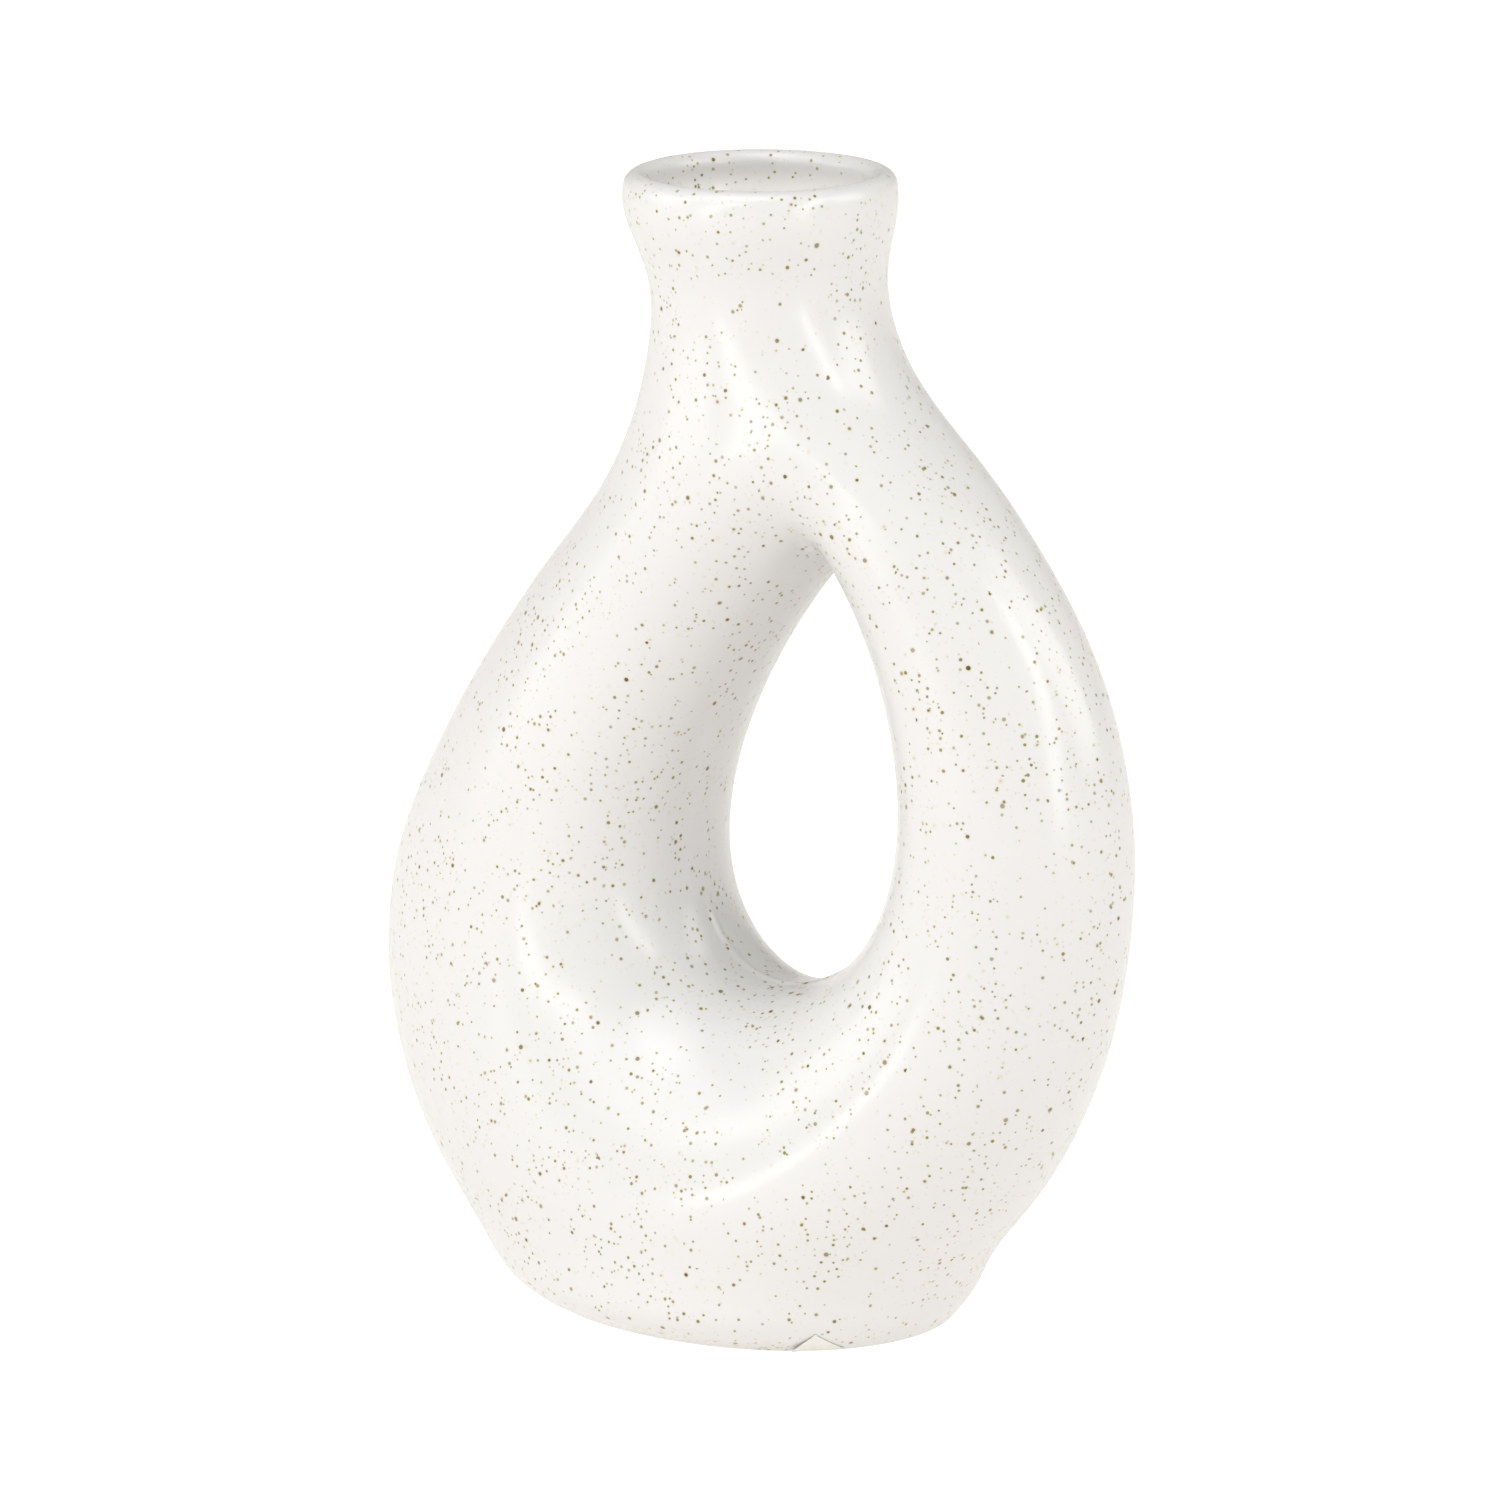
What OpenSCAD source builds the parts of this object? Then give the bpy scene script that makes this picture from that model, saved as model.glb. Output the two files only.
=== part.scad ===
// Ring vase in speckled white stoneware: two moulded half shells luted together along the
// plane Y = 0, a luted base slab, a glaze skin outside and a liner glaze inside.
// Z is up, X runs across the ring, Y through the hole, and Z = 0 is the plane it stands on.

/* [Body] */
// Overall height without glaze
body_h = 225; // [200:1:250]
// Width across the two limbs
body_w = 163; // [150:1:180]
// Depth from front to back at the foot
body_d = 83; // [76:1:92]

/* [Hole] */
// Height of the teardrop hole before glazing
hole_h = 90; // [82:0.5:94]
// Width of the oval that is drawn in to a point to make the teardrop hole
hole_w = 60; // [54:1:61]
// Height of the middle of the hole above the table
hole_z = 109.5; // [106:0.5:113]
// Distance of the hole to the right of the middle
hole_x = 13.5; // [10:0.5:17]

/* [Walls] */
// Thickness of the stoneware wall
wall = 4.2; // [3.6:0.1:5]
// Thickness of the outer glaze
glaze = 0.4; // [0.3:0.05:0.5]
// Thickness of the liner glaze
liner = 0.3; // [0.2:0.05:0.4]
// Thickness of the slip between the two halves
seam = 0.5; // [0.3:0.1:0.8]

/* [Base] */
// Thickness of the base slab
slab_h = 5.5; // [5:0.1:7]
// Depth of the shallow recess under the base slab
recess = 1.2; // [0.8:0.1:1.6]
// Width of the flat ring that the slab stands on
rest_w = 5; // [4:0.5:5.5]
// Side of the blank square label
label_w = 22; // [16:1:22]

/* [Hidden] */

clay = "#d9cdb8";
slip = "#cbbda4";
glaze_white = "#f1eee8";
paper_white = "#f7f4ef";

// Outline of the body at its nominal size: height, left edge, right edge, half depth
nominal = [225, 163, 83];
stations = [
    [0, -44.5, 41, 33],
    [5, -51, 44.5, 40.5],
    [14, -59.5, 49, 40.5],
    [26, -69.5, 59, 41.5],
    [50, -80.5, 72.5, 40],
    [80, -81, 80.5, 36],
    [110, -68, 80.5, 33.5],
    [140, -48.5, 70.5, 30],
    [165, -29, 51.5, 28.5],
    [188, -20, 29.5, 24],
    [205, -19, 24.5, 22.5],
    [219, -24.8, 26.8, 25.8],
    [225, -24.4, 26.4, 25.4]
];
sz = body_h / nominal[0];
sx = body_w / nominal[1];
sy = body_d / nominal[2];
outline = [for (s = stations) [s[0] * sz, s[1] * sx, s[2] * sx, s[3] * sy]];
LEFT = 1;
RIGHT = 2;
DEEP = 3;

// The section of a limb is a superellipse of this power
section_power = 2.05;
// Distance over which the surface turns into the hole, at its bottom and at its tip
roll_bottom = 60;
roll_tip = 40;
// The hole leans to the right going up, and is fuller at its bottom than at its tip
hole_lean = 0.165;
hole_point = 0.82;
// Share of that oval's width that lies left and right of its middle
hole_left = 0.48;
hole_right = 0.52;
// How much the hole's edge rises, and its half height grows, per unit of depth
edge_rise = 0.6;
edge_growth = 1.6;
// Power of the curve by which the surface turns into the hole
roll_power = 3;

lip = wall / 2;
// The lip ends a hair short of its full circle, so that its last triangles stay whole
crest = 0.9997;
// Gap between pieces that lie against each other
touch = 0.05;
// Clay pressed into the corner between the slab and the wall
coil_h = 3.5;
coil_lap = 2;

// The body is a plain tube above the neck's height and below the foot's
neck_z = 178 * sz;
foot_z = slab_h + coil_h + touch;

// Cells up each side, across the neck, across the foot, along each tube, and from the
// outline of the body between the tubes to the hole
n_side = 16;
n_across = 16;
n_foot = 14;
n_tube = 7;
n_row = 11;
// Points round the hole's edge, and round the base
n_rim = 120;
n_ring = 48;

// Smooth curve through the stations
last = len(outline) - 1;
function chord(k, i) = (outline[i + 1][k] - outline[i][k]) / (outline[i + 1][0] - outline[i][0]);
function gap(i) = outline[i + 1][0] - outline[i][0];
function tangent(k, i) =
    i == 0 ? chord(k, 0) + (chord(k, 0) - chord(k, 1)) * gap(0) / (gap(0) + gap(1)) :
    i == last ? chord(k, last - 1) :
    (chord(k, i - 1) * gap(i) + chord(k, i) * gap(i - 1)) / (gap(i) + gap(i - 1));
function span_of(z, i = 0) = i >= last - 1 || z < outline[i + 1][0] ? i : span_of(z, i + 1);
function blend(k, i, t) =
    (2 * t ^ 3 - 3 * t ^ 2 + 1) * outline[i][k] + (t ^ 3 - 2 * t ^ 2 + t) * gap(i) * tangent(k, i)
    + (3 * t ^ 2 - 2 * t ^ 3) * outline[i + 1][k] + (t ^ 3 - t ^ 2) * gap(i) * tangent(k, i + 1);
function profile(k, z, i) = blend(k, i, (z - outline[i][0]) / gap(i));
function at(k, z) = profile(k, z, span_of(z));
function slope(k, z) = (at(k, z + 1) - at(k, z - 1)) / 2;

// Surfaces are numbered by their depth g below the stoneware's outside: 0 is the outside,
// wall the inside, and a glaze lies above them. At the mouth all of them roll over one lip.
function top(g) = body_h - lip + crest * abs(g - lip);
function depth_at(z, g) =
    let (rise = max(0, z - (body_h - lip)))
    lip + sign(g - lip) * sqrt(max(0, (g - lip) ^ 2 - rise ^ 2));
function edge(k, z, g) =
    let (inward = depth_at(z, g) * sqrt(1 + slope(k, min(z, body_h - lip)) ^ 2))
    at(k, min(z, body_h)) + (k == LEFT ? inward : -inward);
function mid(z, g) = (edge(LEFT, z, g) + edge(RIGHT, z, g)) / 2;
function half(z, g) = (edge(RIGHT, z, g) - edge(LEFT, z, g)) / 2;
function round_off(u) = max(0, 1 - abs(u) ^ section_power) ^ (1 / section_power);

// A point of the body's wall at height z, u = -1 at its left edge and 1 at its right edge
function wall_point(z, u, g) = [mid(z, g) + u * half(z, g), edge(DEEP, z, g) * round_off(u)];

// Edge of the teardrop hole, a measured from its tip and positive to the right
function hole_edge(a, g) =
    let (share = sin(a) > 0 ? hole_right : hole_left,
        rise = edge_rise * g + (hole_h / 2 + edge_growth * g) * cos(a),
        across = (hole_w * share + g) * sin(a) * abs(sin(a / 2)) ^ hole_point)
    [hole_x + hole_lean * rise + across, hole_z + rise];

// Over the body's front, u and z are used as plane coordinates, so that the straight lines
// from the outline to the hole stay within the body, its narrow neck included
function place(uz, g) = [mid(uz[1], g) + uz[0] * half(uz[1], g), uz[1]];
function unplace(p, g) = [(p[0] - mid(p[1], g)) / half(p[1], g), p[1]];

// Outline of the body between the tubes as one loop: up the left side, across the neck,
// down the right side and across the foot
left_top = n_side;
right_top = left_top + n_across;
right_low = right_top + n_side;
n_col = right_low + n_foot;
function side_z(share) = foot_z + (neck_z - foot_z) * share;
function loop_uz(i) =
    i < left_top ? [-1, side_z(i / n_side)] :
    i < right_top ? [-cos(180 * (i - left_top) / n_across), neck_z] :
    i < right_low ? [1, side_z((right_low - i) / n_side)] :
    [-cos(180 * (n_col - i) / n_foot), foot_z];

// Direction of a point as seen from the middle of the hole, measured from the hole's tip
hole_tip = unplace(hole_edge(0, 0), 0);
hole_low = unplace(hole_edge(180, 0), 0);
hole_half_u = hole_w / 2 / half(hole_z, 0);
function hole_axis_u(z) =
    hole_low[0] + (hole_tip[0] - hole_low[0]) * (z - hole_low[1]) / (hole_tip[1] - hole_low[1]);
function direction(uz) =
    atan2((uz[0] - hole_axis_u(uz[1])) / hole_half_u, (uz[1] - hole_z) / (hole_h / 2));

// Each point of the loop is joined to the point of the hole's edge in the same direction,
// found by halving an interval. The point nearest to the tip's direction takes the tip.
function edge_in_direction(d, low, high, steps) =
    let (middle = (low + high) / 2)
    steps == 0 ? middle :
    direction(unplace(hole_edge(middle, 0), 0)) < d ? edge_in_direction(d, middle, high, steps - 1)
    : edge_in_direction(d, low, middle, steps - 1);
function loop_angle(i) =
    let (d = direction(loop_uz(i)))
    abs(d) < 1 ? 0 : d > 0 ? edge_in_direction(d, 0, 180, 16) : edge_in_direction(d, -180, 0, 16);
angles = [for (i = [0:n_col - 1]) loop_angle(i)];

// Distance of a point to the edge of the hole, given as a closed line of points
function reach(p, a, b) =
    let (along = ((p - a) * (b - a)) / ((b - a) * (b - a)))
    norm(p - a - max(0, min(1, along)) * (b - a));
function hole_line(g) = [for (k = [0:n_rim]) hole_edge(360 * k / n_rim - 180, g)];
function to_hole(p, line) = min([for (k = [0:n_rim - 1]) reach(p, line[k], line[k + 1])]);

// Half depth of the body over a point: the full depth, rolled down to nothing at the hole
function bulge(uz, distance, g) =
    let (below_tip = max(0, min(1, (hole_z + hole_h / 2 - uz[1]) / hole_h)),
        roll = roll_tip + (roll_bottom - roll_tip) * below_tip,
        near = min(1, distance / roll))
    edge(DEEP, uz[1], g) * round_off(uz[0]) * sqrt(1 - (1 - near) ^ roll_power);

// One line of the surface: along a tube, for the points that lie at one, then to the hole
function ease(share) = (1 - cos(180 * share)) / 2;
function ease_in(share) = 1 - cos(90 * share);
function tube_z(i, j, g) =
    i >= right_low || i == 0 ? foot_z * ease_in(j / n_tube) :
    top(g) - (top(g) - neck_z) * ease_in(j / n_tube);
function tube_line(i, g, line) =
    [for (j = [0:n_tube - 1])
        let (uz = [loop_uz(i)[0], tube_z(i, j, g)], p = place(uz, g))
        [p[0], bulge(uz, to_hole(p, line), g) + seam / 2, p[1]]];
function surface_line(i, g, line) =
    let (from = loop_uz(i), to = unplace(hole_edge(angles[i], g), g))
    concat(tube_line(i, g, line), [for (j = [0:n_row])
        let (uz = from + (to - from) * ease(j / n_row), p = place(uz, g))
        [p[0], bulge(uz, j == n_row ? 0 : to_hole(p, line), g) + seam / 2, p[1]]]);

// A sheet is the front or rear surface at depth g, as one list of points
FRONT = -1;
REAR = 1;
n_line = n_tube + n_row + 1;
function sheet(g, side) =
    let (line = hole_line(g))
    [for (i = [0:n_col - 1]) for (p = surface_line(i, g, line)) [p[0], side * p[1], p[2]]];

// Numbers of a sheet's points, for sheet k of a solid, and its borders as lists of numbers
function id(k, i, j) = (k * n_col + i % n_col) * n_line + j;
function hole_border(k) = [for (i = [0:n_col]) id(k, i, n_line - 1)];
function mouth_border(k) = [for (i = [left_top:right_top]) id(k, i, 0)];
function foot_border(k, j) = [for (i = [right_low:n_col]) id(k, i, j)];
function left_border(k, j) = concat(
    [for (row = [j:1:n_tube - 1]) id(k, 0, row)],
    [for (i = [0:left_top]) id(k, i, n_tube)],
    [for (row = [n_tube - 1:-1:0]) id(k, left_top, row)]);
function right_border(k, j) = concat(
    [for (row = [0:n_tube - 1]) id(k, right_top, row)],
    [for (i = [right_top:right_low]) id(k, i, n_tube)],
    [for (row = [n_tube - 1:-1:j]) id(k, right_low, row)]);

// Triangles of a sheet, from row j of the foot upwards, and of a strip between two borders
function flip(faces) = [for (f = faces) [f[2], f[1], f[0]]];
function quad(a, b, c, d) = [[a, b, c], [a, c, d]];
function strip(a, b) = [for (n = [0:len(a) - 2]) each quad(a[n], a[n + 1], b[n + 1], b[n])];
function covers(i, j, foot_row) =
    j >= n_tube || (i >= left_top && i < right_top) || (i >= right_low && j >= foot_row);
function sheet_faces(k, foot_row) =
    [for (i = [0:n_col - 1]) for (j = [0:n_line - 2]) if (covers(i, j, foot_row))
        each quad(id(k, i, j), id(k, i, j + 1), id(k, i + 1, j + 1), id(k, i + 1, j))];

// One half of a shell between depth 0 and depth wall
module half_shell(side) {
    function outline(k) =
        concat(left_border(k, 0), mouth_border(k), right_border(k, 0), foot_border(k, 0));
    faces = concat(sheet_faces(0, 0), flip(sheet_faces(1, 0)),
        strip(outline(0), outline(1)), strip(hole_border(1), hole_border(0)));
    polyhedron(concat(sheet(0, side), sheet(wall, side)), side == FRONT ? flip(faces) : faces);
}

// A skin over both halves between depths near and far, open at the mouth and the foot
module skin(near, far, foot_row) {
    function corner(i, j) = quad(id(0, i, j), id(1, i, j), id(3, i, j), id(2, i, j));
    faces = concat(
        sheet_faces(0, foot_row), flip(sheet_faces(1, foot_row)),
        flip(sheet_faces(2, foot_row)), sheet_faces(3, foot_row),
        strip(left_border(0, foot_row), left_border(2, foot_row)),
        strip(left_border(3, foot_row), left_border(1, foot_row)),
        strip(right_border(0, foot_row), right_border(2, foot_row)),
        strip(right_border(3, foot_row), right_border(1, foot_row)),
        strip(hole_border(2), hole_border(0)), strip(hole_border(1), hole_border(3)),
        strip(mouth_border(0), mouth_border(1)), strip(mouth_border(3), mouth_border(2)),
        strip(foot_border(0, foot_row), foot_border(1, foot_row)),
        strip(foot_border(3, foot_row), foot_border(2, foot_row)),
        corner(left_top, 0), flip(corner(right_top, 0)),
        corner(right_low, foot_row), flip(corner(0, foot_row)));
    points = concat(sheet(near, FRONT), sheet(far, FRONT), sheet(near, REAR), sheet(far, REAR));
    polyhedron(points, flip(faces));
}

// A closed ring swept through a list of sections with the same number of points
module ring(sections) {
    n = len(sections);
    m = len(sections[0]);
    function id(i, j) = (i % n) * m + j % m;
    polyhedron([for (s = sections) each s],
        [for (i = [0:n - 1]) for (j = [0:m - 1]) each
            [[id(i, j), id(i, j + 1), id(i + 1, j + 1)], [id(i, j), id(i + 1, j + 1), id(i + 1, j)]]]);
}

module front_shell() {
    color(clay) half_shell(FRONT);
}

module rear_shell() {
    color(clay) half_shell(REAR);
}

// Slip between the halves: a strip up each side and a ring round the hole
function side_heights(g) = concat(
    [for (j = [0:n_tube - 1]) tube_z(0, j, g)],
    [for (i = [0:n_side]) side_z(i / n_side)],
    [for (j = [n_tube - 1:-1:0]) tube_z(left_top, j, g)]);
function backwards(list) = [for (n = [len(list) - 1:-1:0]) list[n]];
function side_path(u, g) =
    let (path = [for (z = side_heights(g)) place([u, z], g)])
    u < 0 ? path : backwards(path);
function slip_section(outer, inner) =
    let (y = seam / 2)
    [[outer[0], -y, outer[1]], [outer[0], y, outer[1]],
        [inner[0], y, inner[1]], [inner[0], -y, inner[1]]];

// A bar swept through a list of sections of four points
module bar(sections) {
    n = len(sections);
    sides = [for (i = [0:n - 2]) for (j = [0:3]) each
        quad(4 * i + j, 4 * i + (j + 1) % 4, 4 * i + 4 + (j + 1) % 4, 4 * i + 4 + j)];
    ends = concat(flip(quad(0, 1, 2, 3)), quad(4 * n - 4, 4 * n - 3, 4 * n - 2, 4 * n - 1));
    polyhedron([for (s = sections) each s], concat(sides, ends));
}
module side_slip(u) {
    outer = side_path(u, 0);
    inner = side_path(u, wall);
    sections = [for (n = [0:len(outer) - 1]) slip_section(outer[n], inner[n])];
    bar(sections);
}

module seam_luting() {
    color(slip) {
        side_slip(-1);
        side_slip(1);
        ring([for (a = angles) slip_section(hole_edge(a, wall), hole_edge(a, 0))]);
    }
}

// Oval outlines of the base, a measured round from the right
function oval_point(a, z, g) =
    let (p = wall_point(z, cos(a), g)) [p[0], p[1] * (sin(a) < 0 ? -1 : 1)];
function oval(z, g) = [for (i = [0:n_ring - 1]) oval_point(360 * i / n_ring, z, g)];
function inward(p, distance) =
    let (centre = [mid(0, 0), 0]) p - distance * (p - centre) / norm(p - centre);
slab_gap = wall + touch;

module base_slab() {
    color(clay) difference() {
        linear_extrude(slab_h) polygon(oval(0, slab_gap));
        translate([0, 0, -1]) linear_extrude(recess + 1)
            polygon([for (p = oval(0, slab_gap)) inward(p, rest_w)]);
    }
}

module base_luting() {
    function at_z(a, g, from_z, z) = let (p = oval_point(a, from_z, g)) [p[0], p[1], z];
    color(slip) ring([for (i = [0:n_ring - 1]) let (a = 360 * i / n_ring) [
        at_z(a, slab_gap - touch / 2, 0, touch),
        at_z(a, wall + touch, slab_h / 2, slab_h / 2),
        at_z(a, wall + touch, slab_h + coil_h, slab_h + coil_h),
        at_z(a, slab_gap + coil_lap, 0, slab_h + touch),
        at_z(a, slab_gap - touch / 2, 0, slab_h + touch)
    ]]);
}

module outer_glaze() {
    color(glaze_white) skin(-glaze, 0, 0);
}

// The liner starts above the luted corner
module liner_glaze() {
    color(glaze_white) skin(wall, wall + liner, n_tube);
}

// Blank paper label in the recess, and its corner folded up the front of the foot
label_h = 0.15;
label_round = 2;
tab_middle = 44;
tab_spread = 7.5;
tab_low = 0.6;
tab_rise = 4;
module base_label() {
    at_front = [for (k = [0:2]) tab_middle + (k - 1) * tab_spread];
    function tab_point(a, z, g) = let (p = oval_point(-a, z, g)) [p[0], p[1] - seam / 2, z];
    color(paper_white) {
        translate([mid(0, 0), 0, recess - label_h]) linear_extrude(label_h)
            rotate(45) offset(label_round, $fn = 24) square(label_w - 2 * label_round, center = true);
        polyhedron([
            tab_point(at_front[0], tab_low, -glaze - touch),
            tab_point(at_front[2], tab_low, -glaze - touch),
            tab_point(at_front[1], tab_rise, -glaze - touch),
            tab_point(at_front[0], tab_low, -glaze - touch - label_h),
            tab_point(at_front[2], tab_low, -glaze - touch - label_h),
            tab_point(at_front[1], tab_rise, -glaze - touch - label_h)
        ], [[2, 1, 0], [3, 4, 5], [1, 4, 3, 0], [2, 5, 4, 1], [0, 3, 5, 2]]);
    }
}

front_shell();
rear_shell();
seam_luting();
base_slab();
base_luting();
outer_glaze();
liner_glaze();
base_label();
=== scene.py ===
"""Looks of the ring vase: smooth glazed surfaces over the CAD frame, a pale floor and soft studio light.

Lengths are in millimetres inside the shape functions and in metres everywhere else.
"""

import math

import bmesh
import bpy
import numpy as np
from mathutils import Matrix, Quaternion, Vector


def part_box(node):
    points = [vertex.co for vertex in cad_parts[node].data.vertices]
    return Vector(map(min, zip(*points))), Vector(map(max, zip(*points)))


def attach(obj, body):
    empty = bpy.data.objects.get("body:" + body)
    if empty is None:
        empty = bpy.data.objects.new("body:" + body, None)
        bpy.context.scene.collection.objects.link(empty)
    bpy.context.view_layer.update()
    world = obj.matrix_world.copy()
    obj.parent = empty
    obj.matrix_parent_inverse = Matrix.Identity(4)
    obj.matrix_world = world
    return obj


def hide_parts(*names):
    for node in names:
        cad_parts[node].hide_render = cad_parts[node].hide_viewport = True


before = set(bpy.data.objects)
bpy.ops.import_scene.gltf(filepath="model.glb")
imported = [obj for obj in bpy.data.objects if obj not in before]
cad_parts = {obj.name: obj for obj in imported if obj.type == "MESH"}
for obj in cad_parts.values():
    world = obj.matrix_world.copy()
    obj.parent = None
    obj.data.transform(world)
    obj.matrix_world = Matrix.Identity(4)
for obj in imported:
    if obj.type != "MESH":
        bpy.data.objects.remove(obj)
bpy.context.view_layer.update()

MM = 0.001
FRONT = -1
REAR = 1

# ---------------------------------------------------------------- sizes, from the frame


def size_mm(node):
    """Low and high corner of a CAD node's box, in millimetres."""
    low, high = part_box(node)
    return np.array(low) / MM, np.array(high) / MM


shell_high = size_mm("front_shell")[1]
glaze_high = size_mm("outer_glaze")[1]
slab_low, slab_high = size_mm("base_slab")

BODY_H = shell_high[2]
GLAZE = glaze_high[2] - shell_high[2]
# The front shell ends half a seam before the plane Y = 0
SEAM = 2 * -shell_high[1]
SLAB_H = slab_high[2]
WALL = 4.2
LIP = WALL / 2

# ---------------------------------------------------------------- shape of the body

# The outline that the CAD body has: height, left edge, right edge, half depth
STATIONS = np.array(
    [
        (0, -44.5, 41, 33),
        (5, -51, 44.5, 40.5),
        (14, -59.5, 49, 40.5),
        (26, -69.5, 59, 41.5),
        (50, -80.5, 72.5, 40),
        (80, -81, 80.5, 36),
        (110, -68, 80.5, 33.5),
        (140, -48.5, 70.5, 30),
        (165, -29, 51.5, 28.5),
        (188, -20, 29.5, 24),
        (205, -19, 24.5, 22.5),
        (219, -24.8, 26.8, 25.8),
        (225, -24.4, 26.4, 25.4),
    ]
)
LEFT, RIGHT, DEEP = 1, 2, 3
SECTION_POWER = 2.05

HOLE_H = 90
HOLE_W = 60
HOLE_X = 13.5
HOLE_Z = 109.5
HOLE_LEAN = 0.165
HOLE_POINT = 0.82
HOLE_LEFT = 0.48
HOLE_RIGHT = 0.52
# How much the hole's edge rises, and its half height grows, per unit of depth
EDGE_RISE = 0.6
EDGE_GROWTH = 1.6
# Distance over which the surface turns into the hole, and the power of the curve it turns by
ROLL_BOTTOM = 60
ROLL_TIP = 40
ROLL_POWER = 3

# The body is a plain tube above the neck's height and below the foot's
NECK_Z = 178
COIL_H = 3.5
FOOT_Z = SLAB_H + COIL_H

# Heights at which the profile is tabulated, and the distance over which it is evened out
TABLE_Z = np.linspace(-1, BODY_H, 905)
EVEN_REACH = 4.0
EVEN_SHARE = 0.3


def hermite(column, heights):
    """The CAD's smooth curve through one column of the stations."""
    z, v = STATIONS[:, 0], STATIONS[:, column]
    gap = np.diff(z)
    chord = np.diff(v) / gap
    tangent = np.empty(len(z))
    tangent[0] = chord[0] + (chord[0] - chord[1]) * gap[0] / (gap[0] + gap[1])
    tangent[-1] = chord[-1]
    tangent[1:-1] = (chord[:-1] * gap[1:] + chord[1:] * gap[:-1]) / (gap[1:] + gap[:-1])
    i = np.clip(np.searchsorted(z, heights, side="right") - 1, 0, len(gap) - 1)
    t = (heights - z[i]) / gap[i]
    return (
        (2 * t**3 - 3 * t**2 + 1) * v[i]
        + (t**3 - 2 * t**2 + t) * gap[i] * tangent[i]
        + (3 * t**2 - 2 * t**3) * v[i + 1]
        + (t**3 - t**2) * gap[i] * tangent[i + 1]
    )


def smooth_profile(column):
    """The curve evened out, less so near the foot and the lip, so that highlights run without a kink."""
    curve = hermite(column, TABLE_Z)
    evened = np.empty_like(curve)
    for n, z in enumerate(TABLE_Z):
        to_end = max(0, min(z, BODY_H - z))
        sigma = min(EVEN_REACH, EVEN_SHARE * to_end) + 0.01
        near = np.abs(TABLE_Z - z) < 3 * sigma + 0.3
        weight = np.exp(-0.5 * ((TABLE_Z[near] - z) / sigma) ** 2)
        evened[n] = np.sum(weight * curve[near]) / np.sum(weight)
    return evened


PROFILES = {column: smooth_profile(column) for column in (LEFT, RIGHT, DEEP)}


def at(column, z):
    return np.interp(z, TABLE_Z, PROFILES[column])


def slope(column, z):
    return (at(column, z + 1) - at(column, z - 1)) / 2


# Surfaces are numbered by their depth g below the stoneware's outside, as in the CAD


def top(g):
    return BODY_H - LIP + abs(g - LIP)


def edge(column, z, g):
    rise = np.maximum(0, z - (BODY_H - LIP))
    depth = LIP + np.sign(g - LIP) * np.sqrt(np.maximum(0, (g - LIP) ** 2 - rise**2))
    inward = depth * np.sqrt(1 + slope(column, np.minimum(z, BODY_H - LIP)) ** 2)
    return at(column, np.minimum(z, BODY_H)) + (inward if column == LEFT else -inward)


def middle(z, g):
    return (edge(LEFT, z, g) + edge(RIGHT, z, g)) / 2


def half(z, g):
    return (edge(RIGHT, z, g) - edge(LEFT, z, g)) / 2


def round_off(u):
    return np.maximum(0, 1 - np.abs(u) ** SECTION_POWER) ** (1 / SECTION_POWER)


def hole_edge(a, g):
    """Edge of the teardrop hole, a in radians from its tip and positive to the right."""
    share = np.where(np.sin(a) > 0, HOLE_RIGHT, HOLE_LEFT)
    rise = EDGE_RISE * g + (HOLE_H / 2 + EDGE_GROWTH * g) * np.cos(a)
    across = (HOLE_W * share + g) * np.sin(a) * np.abs(np.sin(a / 2)) ** HOLE_POINT
    return np.stack([HOLE_X + HOLE_LEAN * rise + across, HOLE_Z + rise], axis=-1)


def place(u, z, g):
    """X of a point at u, which is -1 at the body's left edge and 1 at its right edge."""
    return middle(z, g) + u * half(z, g)


def unplace(p, g):
    return (p[..., 0] - middle(p[..., 1], g)) / half(p[..., 1], g), p[..., 1]


HOLE_TIP = unplace(hole_edge(np.array(0.0), 0), 0)
HOLE_LOW = unplace(hole_edge(np.array(math.pi), 0), 0)
HOLE_HALF_U = HOLE_W / 2 / half(HOLE_Z, 0)


def direction(u, z):
    """Direction of a point as seen from the middle of the hole, from the hole's tip."""
    along = (z - HOLE_LOW[1]) / (HOLE_TIP[1] - HOLE_LOW[1])
    axis_u = HOLE_LOW[0] + (HOLE_TIP[0] - HOLE_LOW[0]) * along
    return np.arctan2((u - axis_u) / HOLE_HALF_U, (z - HOLE_Z) / (HOLE_H / 2))


def ease(share):
    """Even steps crowded towards both ends."""
    return (1 - np.cos(np.pi * share)) / 2


def ease_in(share):
    """Even steps crowded towards the start."""
    return 1 - np.cos(np.pi / 2 * share)


# Cells of the coarsest grid: up each side, across the neck, across the foot, along each tube,
# and from the outline to the hole
N_SIDE = 16
N_ACROSS = 16
N_FOOT = 14
N_TUBE = 7
N_ROW = 15
# Points of the hole's edge for finding angles on it, and for distances to it
N_ANGLE = 7201
N_RIM = 361


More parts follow.
